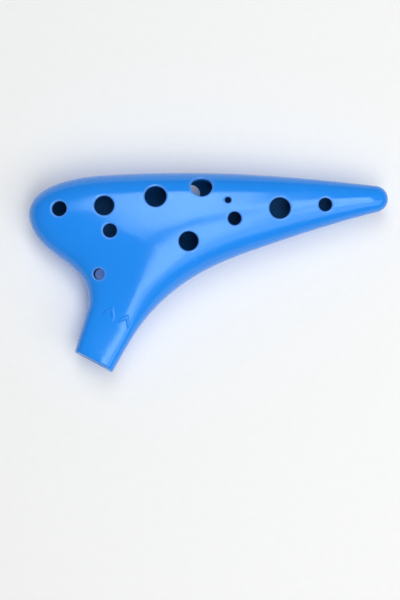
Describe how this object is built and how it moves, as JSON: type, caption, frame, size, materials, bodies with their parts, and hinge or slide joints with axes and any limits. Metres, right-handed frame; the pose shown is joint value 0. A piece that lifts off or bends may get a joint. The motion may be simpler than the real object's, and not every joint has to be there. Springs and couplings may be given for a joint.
{
  "type": "ocarina",
  "caption": "Transverse ocarina moulded as two plastic shells round a windway insert, with finger holes, thumb holes, a window with a labium and a neck-cord hole.",
  "frame": {"origin": "on the axis of the strap hole, in the plane where the two shells meet", "axes": "+X along the chamber to the tip of the tail, +Y away from the mouthpiece, +Z out of the finger-hole face along the strap hole"},
  "size_m": [0.1303, 0.0726, 0.024],
  "materials": {
    "shell_plastic": "glossy moulded ABS in bright blue, with a faint moulding texture",
    "insert_plastic": "the same blue ABS, satin where it is cut"
  },
  "bodies": {
    "root": {"front_shell": "shell_plastic", "back_shell": "shell_plastic", "windway_block": "insert_plastic"}
  },
  "joints": []
}
